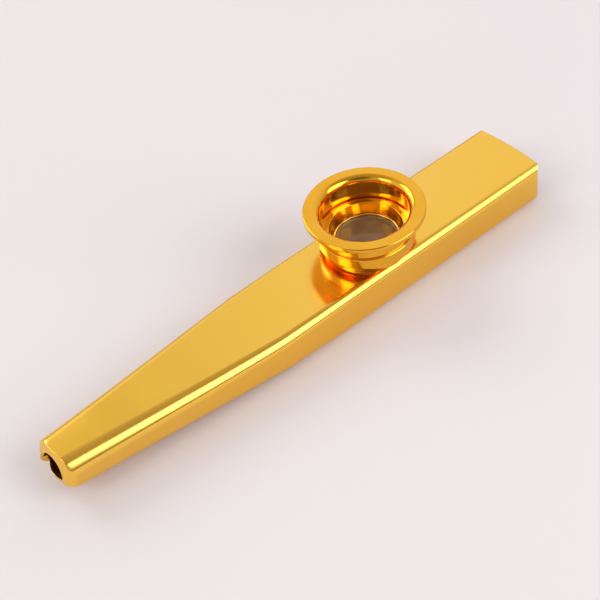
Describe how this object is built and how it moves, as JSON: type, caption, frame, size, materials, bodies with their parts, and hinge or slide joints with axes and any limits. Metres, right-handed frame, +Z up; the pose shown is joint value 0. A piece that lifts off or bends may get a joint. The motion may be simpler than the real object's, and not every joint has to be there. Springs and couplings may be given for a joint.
{
  "type": "kazoo",
  "caption": "Gold anodised metal kazoo: flat tapered tube with an arched mouth hole, and a flared screw cap that clamps a thin film over the sound hole.",
  "frame": {"origin": "under the middle of the whole kazoo, on the plane it lies on", "axes": "+X along the tube from the mouth end to the wide end, +Z up out of the screw cap"},
  "size_m": [0.124, 0.0254, 0.0194],
  "materials": {
    "gold_metal": "gloss",
    "pale_metal": "gloss",
    "washer_fibre": "matte",
    "clear_film": "gloss"
  },
  "bodies": {
    "tube": {"body_tube": "gold_metal", "collar": "gold_metal", "seal_washer": "washer_fibre", "film": "clear_film", "film_ring": "pale_metal"},
    "lifter": {"press_ring": "gold_metal"},
    "cap": {"cap": "gold_metal"}
  },
  "joints": [
    {"name": "cap_lift", "type": "slide", "parent": "tube", "child": "lifter", "axis": [0, 0, 1], "range_m": [0, 0.00101]},
    {"name": "cap_turn", "type": "hinge", "parent": "lifter", "child": "cap", "pos_m": [0.019, 0, 0], "axis": [0, 0, 1], "range_deg": [0, 600]}
  ],
  "couplings": [
    {"joint": "cap_lift", "follows": "cap_turn", "m_per_rad": 0.000095493}
  ]
}
